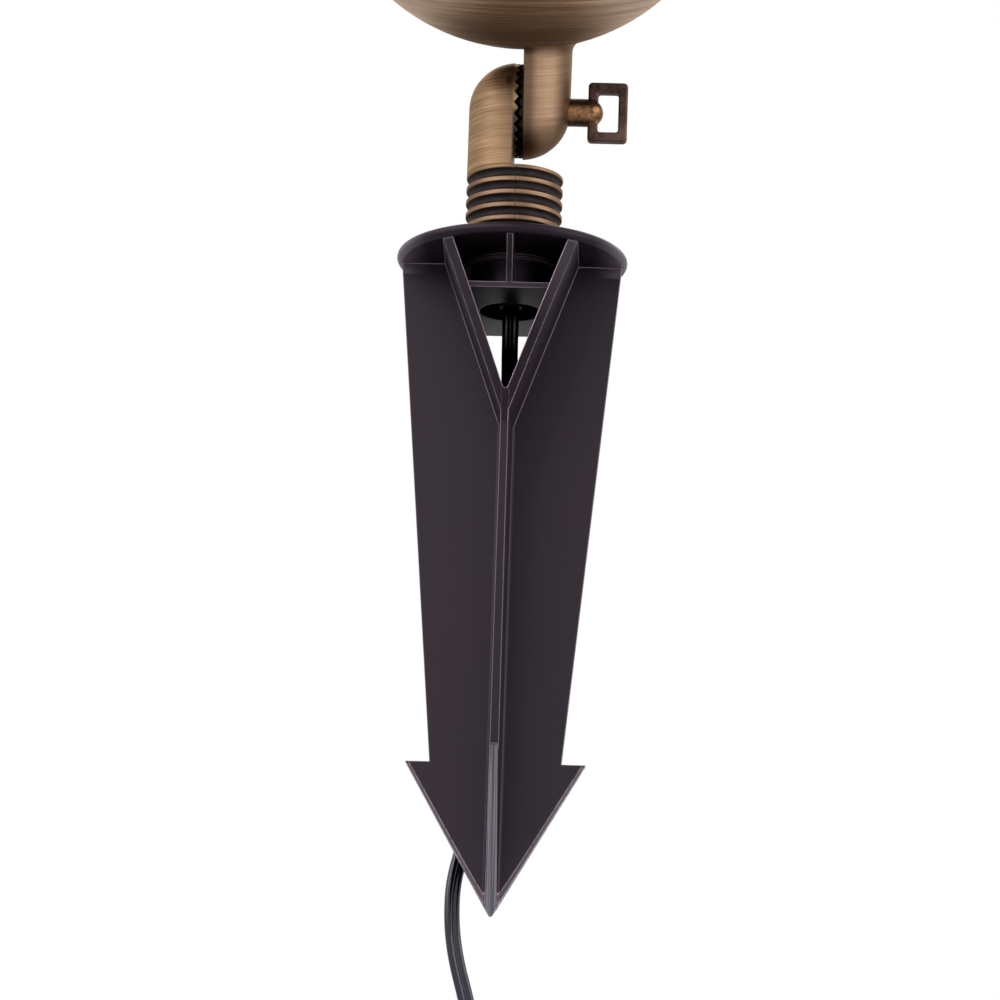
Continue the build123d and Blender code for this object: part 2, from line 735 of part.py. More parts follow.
# Bowl housing: the tilting half of the toothed joint and the bowl in one casting
rim_foot = bowl_height + rim_start
rim_top = rim_foot + rim_height
glass_seat = rim_top - glass_thickness - gasket_thickness
lamp_ledge = bowl_height + lamp_ledge_rise
ledge_foot = lamp_ledge - lamp_ledge_thickness
brace_foot = ledge_foot - ledge_brace
brace_radius = sqrt(bowl_inner_radius**2 - (bowl_height - brace_foot) ** 2)
lead_column = half_gap + head_wire_offset - head_wire_bore_radius
with BuildPart() as bowl_housing:
    with BuildSketch(head_section):
        fillet_out = knuckle_top_radius + knuckle_bowl_fillet
        fillet_drop = sqrt((bowl_radius + knuckle_bowl_fillet) ** 2 - fillet_out**2)
        bowl_share = bowl_radius / (bowl_radius + knuckle_bowl_fillet)
        fillet_level = bowl_height - fillet_drop
        blend_out = fillet_out * bowl_share
        blend_level = bowl_height - fillet_drop * bowl_share
        with BuildLine():
            RadiusArc((0, pivot_height - knuckle_radius), (knuckle_radius, pivot_height), -knuckle_radius)
            Line((knuckle_radius, pivot_height), (knuckle_top_radius, fillet_level))
            RadiusArc((knuckle_top_radius, fillet_level), (blend_out, blend_level), knuckle_bowl_fillet)
            Polyline((blend_out, blend_level), (0, blend_level), (0, pivot_height - knuckle_radius))
        make_face()
    revolve(axis=head_axis)
    with BuildSketch(head_level(pivot_height - knuckle_radius - overrun)):
        with Locations((half_gap, 0)):
            Rectangle(3 * neck_radius, 3 * neck_radius, align=(Align.MAX, Align.CENTER))
    extrude(amount=blend_level - pivot_height + knuckle_radius + 2 * overrun, mode=Mode.SUBTRACT)
    with BuildSketch(head_section) as bowl_profile:
        with BuildLine():
            RadiusArc((0, bowl_height - bowl_radius), (bowl_radius, bowl_height), -bowl_radius)
            Polyline(
                (bowl_radius, bowl_height),
                (bowl_radius, rim_foot - rim_chamfer),
                (rim_radius, rim_foot + rim_chamfer),
                (rim_radius, rim_top),
                (glass_recess_radius, rim_top),
                (glass_recess_radius, glass_seat),
                (lamp_bay_radius, glass_seat),
                (lamp_bay_radius, lamp_ledge),
                (lamp_ledge_radius, lamp_ledge),
                (lamp_ledge_radius, ledge_foot),
                (brace_radius, brace_foot),
            )
            RadiusArc((brace_radius, brace_foot), (bowl_floor_radius, bowl_floor), bowl_inner_radius)
            Polyline((bowl_floor_radius, bowl_floor), (0, bowl_floor), (0, bowl_height - bowl_radius))
        make_face()
    revolve(axis=head_axis)
    add(
        tooth_ring.part.rotate(Axis.X, (rest_pitches + 0.5) * 360 / tooth_count)
        .mirror(Plane.YZ)
        .moved(Location((head_shift, 0, pivot_height)))
    )
    with BuildSketch(across_pivot(head_shift)):
        Circle(bush_radius + running_clearance)
    extrude(amount=shoulder_position, mode=Mode.SUBTRACT)
    bush_step = shoulder_position - running_clearance - bush_flange_thickness
    with BuildSketch(across_pivot(head_shift + bush_step)):
        Circle(shaft_hole_radius)
    extrude(amount=knuckle_radius + overrun, mode=Mode.SUBTRACT)
    with BuildSketch(head_level(pivot_height + slot_foot)):
        Rectangle(half_gap + head_wire_offset, 2 * slot_half_width, align=(Align.MIN, Align.CENTER))
    extrude(amount=slot_half_width, mode=Mode.SUBTRACT)
    with BuildSketch(head_level(pivot_height + slot_foot)):
        with Locations((lead_column, 0)):
            Circle(head_wire_bore_radius)
    extrude(amount=bowl_floor - pivot_height - slot_foot, mode=Mode.SUBTRACT)
    with BuildSketch(head_level(bowl_floor)):
        with Locations((lead_column, 0)):
            Circle(grommet_radius + seat_clearance)
    extrude(amount=-grommet_length, mode=Mode.SUBTRACT)
    screw_circle = (glass_recess_radius + rim_radius) / 2
    with BuildSketch(head_level(rim_top)):
        with PolarLocations(screw_circle, screw_count):
            Circle(screw_radius + seat_clearance)
    extrude(amount=-screw_length, mode=Mode.SUBTRACT)
bowl_housing.part.label = "bowl_housing"
export_step(bowl_housing.part, "parts/bowl_housing.step")

# Flanged bush in the upper knuckle, which the head turns on
with BuildPart() as pivot_bush:
    with BuildSketch(screw_section):
        with BuildLine():
            Polyline(
                (bush_start, bush_bore_radius),
                (bush_start, bush_radius),
                (bush_step, bush_radius),
                (bush_step, shaft_radius),
                (bush_step + bush_flange_thickness, shaft_radius),
                (bush_step + bush_flange_thickness, bush_bore_radius),
                close=True,
            )
        make_face()
    revolve(axis=pivot_axis)
pivot_bush.part.label = "pivot_bush"
export_step(pivot_bush.part, "parts/pivot_bush.step")

# Ring handle of the thumb screw, cast with rounded edges round its window
with BuildPart() as ring_handle:
    window_width = knob_length - knob_left_bar - knob_right_bar
    window_height = 2 * knob_half_height - knob_top_bar - knob_bottom_bar
    with BuildSketch(screw_section):
        with Locations((knob_start + knob_length / 2, 0)):
            RectangleRounded(knob_length, 2 * knob_half_height, knob_corner_radius)
        with Locations(
            (knob_start + knob_left_bar + window_width / 2, (knob_bottom_bar - knob_top_bar) / 2)
        ):
            RectangleRounded(window_width, window_height, knob_window_radius, mode=Mode.SUBTRACT)
    extrude(amount=knob_thickness / 2, both=True)
    fillet(ring_handle.faces().filter_by(Axis.Y).edges(), knob_edge_radius)

# Thumb screw: thread, shoulder, round shaft with a bullet nose, and the ring handle
with BuildPart() as thumb_screw:
    with BuildSketch(screw_section) as shaft_profile:
        nose_start = nose_tip - shaft_radius
        groove_end = shaft_groove_position + shaft_groove_width
        with BuildLine():
            Polyline(
                (nose_start, shaft_radius),
                (groove_end, shaft_radius),
                (groove_end, shaft_radius - shaft_groove_depth),
                (shaft_groove_position, shaft_radius - shaft_groove_depth),
                (shaft_groove_position, shaft_radius),
                (shoulder_position, shaft_radius),
                (shoulder_position, thread_radius),
                (-screw_tip + thread_pitch / 2, thread_radius),
                (-screw_tip, thread_radius - thread_pitch / 2),
                (-screw_tip, 0),
                (nose_tip, 0),
            )
            RadiusArc((nose_start, shaft_radius), (nose_tip, 0), shaft_radius)
        make_face()
    revolve(axis=pivot_axis)
    add(ring_handle.part)
thumb_screw.part.label = "thumb_screw"
export_step(thumb_screw.part, "parts/thumb_screw.step")

# Rubber ring in the shaft's groove
with BuildPart() as shaft_ring:
    with BuildSketch(screw_section):
        ring_centre = shaft_radius - shaft_groove_depth + shaft_ring_section / 2
        with Locations((shaft_groove_position + shaft_groove_width / 2, ring_centre)):
            Circle(shaft_ring_section / 2)
    revolve(axis=pivot_axis)
shaft_ring.part.label = "shaft_ring"
export_step(shaft_ring.part, "parts/shaft_ring.step")

# Rubber grommet where the leads enter the bowl
with BuildPart() as bowl_grommet:
    with BuildSketch(head_level(bowl_floor - grommet_length)):
        with Locations((lead_column, 0)):
            Circle(grommet_radius)
    extrude(amount=grommet_length)
    with BuildSketch(head_level(bowl_floor)):
        with Locations((lead_column, 0)):
            Circle(grommet_flange_radius)
    extrude(amount=grommet_flange_thickness)
    with BuildSketch(head_level(bowl_floor - grommet_length)):
        with Locations((lead_column, lead_spacing / 2), (lead_column, -lead_spacing / 2)):
            Circle(lead_diameter / 2 + running_clearance)
    extrude(amount=grommet_length + grommet_flange_thickness, mode=Mode.SUBTRACT)
bowl_grommet.part.label = "bowl_grommet"
export_step(bowl_grommet.part, "parts/bowl_grommet.step")

# Levels of the lamp, from the ledge that carries its rubber ring
lamp_rim_foot = lamp_ledge + lamp_ring_flange
lamp_front = lamp_rim_foot + lamp_rim_thickness
glass_foot = glass_seat + gasket_thickness
cup_shoulder = lamp_rim_foot - lamp_cup_drop
cup_foot = cup_shoulder - lamp_cup_height
lamp_back = cup_foot - lamp_back_height
pocket_radius = lamp_cup_radius - lamp_wall
pocket_floor = cup_foot + lamp_wall
sleeve_bottom = lamp_back - tab_length - sleeve_foot


def head_lead(side):
    """Path of one lead from the upper face, up the knuckle and out to its sleeve."""
    beside = side * lead_spacing / 2
    face_level = pivot_height + slot_foot + slot_half_width / 2
    spread = sleeve_bottom - bowl_floor - grommet_flange_thickness
    return [
        leaned(head_shift + half_gap + seat_clearance, beside, face_level),
        leaned(head_shift + lead_column, beside, face_level),
        leaned(head_shift + lead_column, beside, bowl_floor + grommet_flange_thickness + spread / 4),
        leaned(head_shift, side * tab_offset, sleeve_bottom - spread / 4),
        leaned(head_shift, side * tab_offset, sleeve_bottom),
    ]


# Lead to the lamp's first tab
with BuildPart() as lead_black:
    with BuildLine() as black_path:
        black_points = head_lead(-1)
        FilletPolyline(*black_points, radius=[lead_diameter, lead_diameter, lead_diameter])
    with BuildSketch(Plane(black_points[0], z_dir=(1, 0, 0))):
        Circle(lead_diameter / 2)
    sweep(path=black_path.wire())
lead_black.part.label = "lead_black"
export_step(lead_black.part, "parts/lead_black.step")

# Lead to the lamp's second tab
with BuildPart() as lead_white:
    with BuildLine() as white_path:
        white_points = head_lead(1)
        FilletPolyline(*white_points, radius=[lead_diameter, lead_diameter, lead_diameter])
    with BuildSketch(Plane(white_points[0], z_dir=(1, 0, 0))):
        Circle(lead_diameter / 2)
    sweep(path=white_path.wire())
lead_white.part.label = "lead_white"
export_step(lead_white.part, "parts/lead_white.step")

# Flat tabs on the lamp's back
with BuildPart() as lamp_tabs:
    with BuildSketch(head_level(lamp_back)):
        with Locations((0, tab_offset), (0, -tab_offset)):
            Rectangle(tab_width, tab_thickness)
    extrude(amount=-tab_length)
lamp_tabs.part.label = "lamp_tabs"
export_step(lamp_tabs.part, "parts/lamp_tabs.step")

# Insulated sleeves pushed onto the tabs
with BuildPart() as lead_sleeves:
    with BuildSketch(head_level(sleeve_bottom)):
        with Locations((0, tab_offset), (0, -tab_offset)):
            RectangleRounded(sleeve_width, sleeve_depth, sleeve_depth / 3)
    extrude(amount=tab_length + sleeve_foot - seat_clearance)
    with BuildSketch(head_level(sleeve_bottom + sleeve_foot - seat_clearance)):
        with Locations((0, tab_offset), (0, -tab_offset)):
            Rectangle(tab_width + 2 * seat_clearance, tab_thickness + 2 * seat_clearance)
    extrude(amount=tab_length + sleeve_foot, mode=Mode.SUBTRACT)
lead_sleeves.part.label = "lead_sleeves"
export_step(lead_sleeves.part, "parts/lead_sleeves.step")

# Lamp body: rim, reflector cup and the pocket for its driver
with BuildPart() as lamp_body:
    with BuildSketch(head_section):
        with BuildLine():
            Polyline(
                (0, lamp_back),
                (lamp_back_radius, lamp_back),
                (lamp_back_radius, cup_foot),
                (lamp_cup_radius, cup_foot),
                (lamp_cup_radius, cup_shoulder),
                (lamp_neck_radius, lamp_rim_foot),
                (lamp_rim_radius, lamp_rim_foot),
                (lamp_rim_radius, lamp_front),
                (lamp_lens_radius + seat_clearance, lamp_front),
                (lamp_lens_radius + seat_clearance, lamp_front - lamp_lens_thickness),
                (lamp_neck_radius - lamp_wall, lamp_front - lamp_lens_thickness),
                (pocket_radius, cup_shoulder + lamp_wall),
                (pocket_radius, pocket_floor),
                (driver_pocket_radius, pocket_floor),
                (driver_pocket_radius, lamp_back + lamp_back_wall),
                (0, lamp_back + lamp_back_wall),
                close=True,
            )
        make_face()
    revolve(axis=head_axis)
lamp_body.part.label = "lamp_body"
export_step(lamp_body.part, "parts/lamp_body.step")

# Driver board on the floor of the lamp's back pocket
with BuildPart() as driver_board:
    with BuildSketch(head_level(lamp_back + lamp_back_wall)):
        Circle(driver_pocket_radius - 2 * seat_clearance)
    extrude(amount=board_thickness)
driver_board.part.label = "driver_board"
export_step(driver_board.part, "parts/driver_board.step")

# Board that carries the light sources
with BuildPart() as led_board:
    with BuildSketch(head_level(pocket_floor)):
        Circle(pocket_radius - 2 * seat_clearance)
    extrude(amount=board_thickness)
led_board.part.label = "led_board"
export_step(led_board.part, "parts/led_board.step")

# Moulded optics, one cone over each light source on a common plate
with BuildPart() as led_optics:
    optics_foot = pocket_floor + board_thickness
    with BuildSketch(head_level(optics_foot)):
        Circle(pocket_radius - 2 * seat_clearance)
    extrude(amount=optic_plate_thickness)
    for optic in range(optic_count):
        optic_angle = radians(90 + optic * 360 / optic_count)
        optic_place = (
            head_shift + optic_circle * cos(optic_angle),
            optic_circle * sin(optic_angle),
        )
        with BuildSketch(Plane(leaned(*optic_place, optics_foot), z_dir=head_up)):
            Circle(optic_foot_radius)
        with BuildSketch(Plane(leaned(*optic_place, optics_foot + optic_height), z_dir=head_up)):
            Circle(optic_mouth_radius)
        loft()
led_optics.part.label = "led_optics"
export_step(led_optics.part, "parts/led_optics.step")

# Lamp's own front lens, let into its rim
with BuildPart() as lamp_lens:
    with BuildSketch(head_level(lamp_front - lamp_lens_thickness)):
        Circle(lamp_lens_radius)
    extrude(amount=lamp_lens_thickness)
lamp_lens.part.label = "lamp_lens"
export_step(lamp_lens.part, "parts/lamp_lens.step")

# Rubber channel round the lamp's rim, held between the ledge and the glass
with BuildPart() as lamp_ring:
    with BuildSketch(head_section):
        with BuildLine():
            Polyline(
                (lamp_ledge_radius, lamp_ledge),
                (lamp_bay_radius - 3 * seat_clearance, lamp_ledge),
                (lamp_bay_radius - 3 * seat_clearance, glass_foot),
                (lamp_rim_radius - lamp_ring_lip, glass_foot),
                (lamp_rim_radius - lamp_ring_lip, lamp_front),
                (lamp_rim_radius + seat_clearance, lamp_front),
                (lamp_rim_radius + seat_clearance, lamp_rim_foot),
                (lamp_ledge_radius, lamp_rim_foot),
                close=True,
            )
        make_face()
    revolve(axis=head_axis)
lamp_ring.part.label = "lamp_ring"
export_step(lamp_ring.part, "parts/lamp_ring.step")

# Flat gasket under the cover glass
with BuildPart() as lens_gasket:
    with BuildSketch(head_level(glass_seat)):
        Circle(glass_recess_radius - 2 * seat_clearance)
        Circle(lamp_bay_radius + 2 * seat_clearance, mode=Mode.SUBTRACT)
    extrude(amount=gasket_thickness)
lens_gasket.part.label = "lens_gasket"
export_step(lens_gasket.part, "parts/lens_gasket.step")

# Cover glass
with BuildPart() as cover_glass:
    with BuildSketch(head_level(glass_foot)):
        Circle(glass_recess_radius - 2 * seat_clearance)
    extrude(amount=glass_thickness)
cover_glass.part.label = "cover_glass"
export_step(cover_glass.part, "parts/cover_glass.step")

# Bezel that holds the glass, with countersunk screw holes
with BuildPart() as bezel:
    with BuildSketch(head_level(rim_top)):
        Circle(rim_radius)
        Circle(bezel_opening_radius, mode=Mode.SUBTRACT)
    extrude(amount=bezel_thickness)
    chamfer(bezel.edges().filter_by(GeomType.CIRCLE).group_by(head_axis)[-1], bezel_chamfer)
    with Locations(head_level(rim_top + bezel_thickness)):
        with PolarLocations(screw_circle, screw_count):
            CounterSinkHole(
                screw_radius + seat_clearance, screw_head_radius + seat_clearance, counter_sink_angle=90
            )
bezel.part.label = "bezel"
export_step(bezel.part, "parts/bezel.step")

# Bezel screws, countersunk, with hexagon sockets
with BuildPart() as bezel_screws:
    screw_top = rim_top + bezel_thickness
    cone_height = screw_head_radius - screw_radius
    with BuildSketch(head_level(screw_top)):
        with PolarLocations(screw_circle, screw_count):
            Circle(screw_radius)
    extrude(amount=-(bezel_thickness + screw_length - seat_clearance))
    for screw in range(screw_count):
        screw_angle = radians(screw * 360 / screw_count)
        screw_place = (
            head_shift + screw_circle * cos(screw_angle),
            screw_circle * sin(screw_angle),
        )
        with BuildSketch(Plane(leaned(*screw_place, screw_top - cone_height), z_dir=head_up)):
            Circle(screw_radius)
        with BuildSketch(Plane(leaned(*screw_place, screw_top), z_dir=head_up)):
            Circle(screw_head_radius)
        loft()
    with BuildSketch(head_level(screw_top)):
        with PolarLocations(screw_circle, screw_count):
            RegularPolygon(screw_socket_radius, 6)
    extrude(amount=-screw_socket_depth, mode=Mode.SUBTRACT)
bezel_screws.part.label = "bezel_screws"
export_step(bezel_screws.part, "parts/bezel_screws.step")
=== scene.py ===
"""Garden spotlight on its ground stake: camera, cable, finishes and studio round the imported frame."""

import math

import bmesh
import bpy
from mathutils import Matrix, Vector


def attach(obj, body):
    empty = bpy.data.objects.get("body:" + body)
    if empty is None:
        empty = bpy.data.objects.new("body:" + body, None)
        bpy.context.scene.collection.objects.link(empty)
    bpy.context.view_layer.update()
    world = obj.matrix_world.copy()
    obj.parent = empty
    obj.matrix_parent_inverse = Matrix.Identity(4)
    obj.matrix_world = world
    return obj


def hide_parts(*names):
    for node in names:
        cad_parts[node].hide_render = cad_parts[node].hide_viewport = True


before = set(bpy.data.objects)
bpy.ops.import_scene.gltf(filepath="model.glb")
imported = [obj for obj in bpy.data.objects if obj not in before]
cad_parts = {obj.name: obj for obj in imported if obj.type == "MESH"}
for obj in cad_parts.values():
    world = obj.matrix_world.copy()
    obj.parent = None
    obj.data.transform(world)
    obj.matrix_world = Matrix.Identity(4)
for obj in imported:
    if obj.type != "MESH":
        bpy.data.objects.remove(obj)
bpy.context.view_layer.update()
bpy.context.scene.view_settings.view_transform = "Standard"

# Sizes of the finished object that the finishes and the cable are drawn to, in metres
pivot_height = 0.04984
head_shift = 0.00127
half_gap = 0.000755
bowl_height = 0.13285
bowl_radius = 0.06318
head_lean = math.radians(2 * 360 / 26)
neck_radius = 0.0147
disc_top = 0.0282
barb_depth = 0.1555
barb_reach = 0.02687
tip_rise = 0.0465
cut_length = math.hypot(barb_reach, tip_rise)
fork_front = -0.027
fork_foot = -0.0575
rib_foot = -0.19825
knuckle_top = 0.066
bowl_foot = 0.0727
mark_place = (-0.0024, 0.0556)
nose_end = 0.0292
handle_start = head_shift + 0.02125
cable_width = 0.005
cable_thickness = 0.0025


# The photograph's camera

def place_camera():
    """The photograph's camera: well below the lamp, looking up at it."""
    climb = math.radians(15.6486)
    roll = math.radians(-1.9402)
    turn = Matrix.Rotation(math.radians(1.6578), 3, "Z")
    forward = Vector((0, math.cos(climb), math.sin(climb)))
    level_up = Vector((0, -math.sin(climb), math.cos(climb)))
    level_right = Vector((1, 0, 0))
    right = level_right * math.cos(roll) - level_up * math.sin(roll)
    up = level_up * math.cos(roll) + level_right * math.sin(roll)
    aim = Vector((-0.0012724, 0, -0.0737216))
    distance = 2.2
    lens = bpy.data.cameras.new("photo_camera")
    lens.lens = 262.9
    lens.sensor_width = 36
    lens.clip_start = 0.1
    lens.clip_end = 40
    camera = bpy.data.objects.new("photo_camera", lens)
    bpy.context.scene.collection.objects.link(camera)
    axes = Matrix((turn @ right, turn @ up, turn @ -forward)).transposed()
    camera.matrix_world = Matrix.Translation(turn @ (aim - forward * distance)) @ axes.to_4x4()
    bpy.context.scene.camera = camera


place_camera()


# The cable: out of the gland, through the window, down behind the stake, and into its tied hank

cable_route = [
    (0.0001, 0, -0.013),
    (0.0001, 0, -0.022),
    (0.0001, 0.0046, -0.0298),
    (0, 0.0178, -0.0372),
    (-0.0004, 0.0295, -0.0378),
    (-0.0011, 0.0373, -0.0424),
    (-0.0023, 0.0417, -0.0502),
    (-0.0040, 0.0415, -0.0615),
    (-0.0066, 0.0372, -0.0780),
    (-0.0074, 0.0310, -0.0980),
    (-0.0068, 0.0242, -0.1190),
    (-0.0058, 0.0182, -0.1430),
    (-0.0058, 0.0134, -0.1670),
    (-0.0116, 0.0104, -0.1872),
    (-0.0119, 0.0098, -0.2010),
    (-0.0102, 0.0095, -0.2130),
    (-0.0064, 0.0093, -0.2260),
    (-0.0040, 0.0092, -0.2380),
    (-0.0040, 0.0092, -0.2470),
]
hank_turn = math.radians(11.3)
hank_across = Vector((-math.sin(hank_turn), math.cos(hank_turn), 0))
hank_layer_way = Vector((math.cos(hank_turn), math.sin(hank_turn), 0))
hank_runs = 7
hank_half_width = 0.0194
hank_step = 0.0035
hank_waist = 0.007
hank_layer_step = 0.0056
hank_run_length = 0.050
hank_drop = 0.015
hank_tail = 0.007
hank_turn_steps = 5
hank_top_level = cable_route[-1][2] - hank_drop
hank_foot_level = hank_top_level - hank_run_length
hank_middle = Vector((*cable_route[-1][:2], 0)) - hank_across * hank_half_width
twist_top = -0.06
twist_foot = -0.247


def hank_point(across, layer, height):
    """Place in the hank: sideways, through its layers, and up."""
    sideways = hank_across * across + hank_layer_way * (layer * hank_layer_step)
    return hank_middle + sideways + Vector((0, 0, height))


def run_reach(number):
    """How far out a run of the hank lies."""
    return hank_half_width - min(number, hank_runs - 1 - number) * hank_step / 2


def hank_points():
    """Points along every run of the hank, pinched by its tie, and round every half turn."""
    points = []
    middle_run = hank_runs // 2
    for number in range(hank_runs):
        side = 1 if number % 2 == 0 else -1
        start_level = hank_top_level if side == 1 else hank_foot_level
        onward = -side * hank_run_length
        for share in (0.1, 0.3, 0.5, 0.7, 0.9):
            across = side * (run_reach(number) - hank_waist * math.sin(math.pi * share) ** 2)
            layer = share if number == middle_run else float(number > middle_run)
            points.append(hank_point(across, layer, start_level + onward * share))
        if number == hank_runs - 1:
            break
        radius = (run_reach(number) + run_reach(number + 1)) / 2
        centre = side * (run_reach(number) - radius)
        step_angle = math.pi / hank_turn_steps
        swing = radius / math.cos(step_angle / 2)
        layer = float(number >= middle_run)
        for step in range(hank_turn_steps):
            angle = step_angle * (step + 0.5)
            level = start_level + onward + math.copysign(swing * math.sin(angle), onward)
            points.append(hank_point(centre + side * swing * math.cos(angle), layer, level))
    points.append(hank_point(hank_half_width, 1, hank_foot_level - hank_tail))
    return points


def spline_line(name, points):
    """The smooth line that a NURBS spline draws with these points as its control points."""
    curve = bpy.data.curves.new(name, "CURVE")
    curve.dimensions = "3D"
    curve.resolution_u = 6
    spline = curve.splines.new("NURBS")
    spline.points.add(len(points) - 1)
    for control, point in zip(spline.points, points):
        control.co = (*point, 1)
    spline.order_u = 3
    spline.use_endpoint_u = True
    holder = bpy.data.objects.new(name, curve)
    mesh = bpy.data.meshes.new_from_object(holder)
    line = [vertex.co.copy() for vertex in mesh.vertices]
    bpy.data.objects.remove(holder)
    bpy.data.curves.remove(curve)
    bpy.data.meshes.remove(mesh)
    return line


def cable_section():
    """Half turns of the two cores' jackets, joined by a thin web, as (across, through) pairs."""
    core_radius = cable_thickness / 2
    core_place = cable_width / 2 - core_radius
    sweep = math.radians(304)
    steps = 12
    outline = []
    for side in (1, -1):
        middle = 0 if side == 1 else math.pi
        for step in range(steps + 1):
            angle = middle + sweep * (step / steps - 0.5)
            across = side * core_place + core_radius * math.cos(angle)
            outline.append((across, core_radius * math.sin(angle)))
    return outline


def cable_twist(height):
    """Turn of the flat section about its own line, down the cable."""
    if twist_foot < height <= twist_top:
        return math.radians(-32) * math.sin(math.pi * (height - twist_top) / (twist_foot - twist_top))
    return 0


def sweep_cable(line):
    """Mesh of the flat cable: its section carried down the line."""
    outline = cable_section()
    shape = bmesh.new()
    rings = []
    for number, point in enumerate(line):
        ahead = line[min(number + 1, len(line) - 1)]
        behind = line[max(number - 1, 0)]
        way = (ahead - behind).normalized()
        share = min(max((twist_top - point.z) / (twist_top - twist_foot), 0), 1)
        wide = Vector((1, 0, 0)).lerp(hank_layer_way, share).normalized()
        wide = (wide - way * wide.dot(way)).normalized()
        wide.rotate(Matrix.Rotation(cable_twist(point.z), 3, way))
        deep = way.cross(wide)
        places = [point + wide * across + deep * through for across, through in outline]
        rings.append([shape.verts.new(place) for place in places])
    count = len(outline)
    for ring, following in zip(rings, rings[1:]):
        for place in range(count):
            onward = (place + 1) % count
            shape.faces.new((ring[place], ring[onward], following[onward], following[place]))
    shape.faces.new(reversed(rings[0]))
    shape.faces.new(rings[-1])
    bmesh.ops.recalc_face_normals(shape, faces=shape.faces)
    mesh = bpy.data.meshes.new("flat_cable")
    shape.to_mesh(mesh)
    shape.free()
    mesh.shade_smooth()
    cable = bpy.data.objects.new("flat_cable", mesh)
    bpy.context.scene.collection.objects.link(cable)
    return cable


cable_line = spline_line("cable_line", [*map(Vector, cable_route), *hank_points()])
flat_cable = sweep_cable(cable_line)
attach(flat_cable, "base")
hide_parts("supply_cable", "cable_hank")


# Shader maths

class Wire:
    """Output of a shader node. Sums on it add Math nodes."""

    def __init__(self, finish, socket):
        self.finish = finish
        self.socket = socket

    def math(self, operation, *others):
        """A Math node with this wire as its first input."""
        inputs = dict(enumerate((self, *others)))
        return self.finish.node("ShaderNodeMath", {"operation": operation}, inputs)

    def __add__(self, other):
        return self.math("ADD", other)

    def __sub__(self, other):
        return self.math("SUBTRACT", other)

    def __rsub__(self, other):
        return self.finish.node("ShaderNodeMath", {"operation": "SUBTRACT"}, {0: other, 1: self})

    def __mul__(self, other):
        return self.math("MULTIPLY", other)

    def __truediv__(self, other):
        return self.math("DIVIDE", other)

    __radd__ = __add__
    __rmul__ = __mul__

    def above(self, low, high):
        """0 below low, 1 above high, and smooth between them."""
        return self.finish.node(
            "ShaderNodeMapRange",
            {"interpolation_type": "SMOOTHSTEP"},
            {"Value": self, "From Min": low, "From Max": high},
        )

    def below(self, low, high):
        """1 below low, 0 above high, and smooth between them."""
        return 1 - self.above(low, high)


class Finish:
    """One material of the object, built up from nodes."""

    def __init__(self, name, **constants):
        self.material = bpy.data.materials.new(name)
        self.material.use_nodes = True
        self.tree = self.material.node_tree
        self.skin = self.tree.nodes["Principled BSDF"]
        for words, value in constants.items():
            self.skin.inputs[words.replace("_", " ").title().replace("Ior", "IOR")].default_value = value
        self.place = self.node("ShaderNodeTexCoord", output="Object")

    def node(self, kind, settings=None, inputs=None, output=0):
        """Adds a node: its settings first, then values or links for its sockets."""
        made = self.tree.nodes.new(kind)
        for setting, value in (settings or {}).items():
            setattr(made, setting, value)
        for socket, value in (inputs or {}).items():
            self.put(made.inputs[socket], value)
        return Wire(self, made.outputs[output])

    def put(self, socket, value):
        """Gives a socket a link or a value."""
        if isinstance(value, Wire):
            self.tree.links.new(value.socket, socket)
        elif isinstance(value, tuple) and len(value) == 3 and len(socket.default_value) == 4:
            socket.default_value = (*value, 1)
        else:
            socket.default_value = value

    def feed(self, **varied):
        """Links what varies over the surface to the shader."""
        for words, value in varied.items():
            self.put(self.skin.inputs[words.replace("_", " ").title()], value)

    def axes(self, place=None):
        """The three numbers of a place."""
        split = self.node("ShaderNodeSeparateXYZ", inputs={0: place or self.place})
        return [Wire(self, output) for output in split.socket.node.outputs]

    def upright(self, lean):
        """Places on a leaning piece, turned back round the pivot to where it would stand upright."""
        return self.node(
            "ShaderNodeVectorRotate",
            {"rotation_type": "X_AXIS"},
            {"Vector": self.place, "Center": (0, 0, pivot_height), "Angle": -lean},
        )

    def point(self, x, y, z):
        """A place made from three numbers."""
        return self.node("ShaderNodeCombineXYZ", inputs={0: x, 1: y, 2: z})

    def scaled(self, place, sizes):
        """A place stretched along each axis."""
        return self.node("ShaderNodeVectorMath", {"operation": "MULTIPLY"}, {0: place, 1: sizes})

    def noise(self, place, scale, detail=3.0, roughness=0.5):
        """Soft random values, about one half on average."""
        return self.node(
            "ShaderNodeTexNoise",
            inputs={"Vector": place, "Scale": scale, "Detail": detail, "Roughness": roughness},
        )

    def mix(self, share, first, second):
        """One colour turning into another."""
        return self.node(
            "ShaderNodeMix", {"data_type": "RGBA"}, {0: share, 6: first, 7: second}, output=2
        )

    def edges(self, radius):
        """How close a point is to a sharp edge, from 0 to about 1, and the rounded normal there."""
        rounded = self.node("ShaderNodeBevel", {"samples": 6}, {"Radius": radius})
        facing = self.node("ShaderNodeNewGeometry", output="True Normal")
        match = self.node(
            "ShaderNodeVectorMath", {"operation": "DOT_PRODUCT"}, {0: rounded, 1: facing}, output="Value"
        )
        return (1 - match).above(0.004, 0.16), rounded

    def bump(self, height, distance, normal=None):
        """Surface relief, distance metres from its lowest to its highest value."""
        inputs = {"Strength": 1.0, "Distance": distance, "Height": height}
        if normal:
            inputs["Normal"] = normal
        return self.node("ShaderNodeBump", inputs=inputs)


def shade(red, green, blue):
    """Linear colour of a paint mixed on a screen, 0 to 255."""
    return tuple(
        part / 12.92 if part <= 0.04045 else ((part + 0.055) / 1.055) ** 2.4
        for part in (red / 255, green / 255, blue / 255)
    )


# Finishes of the stake and of the cable

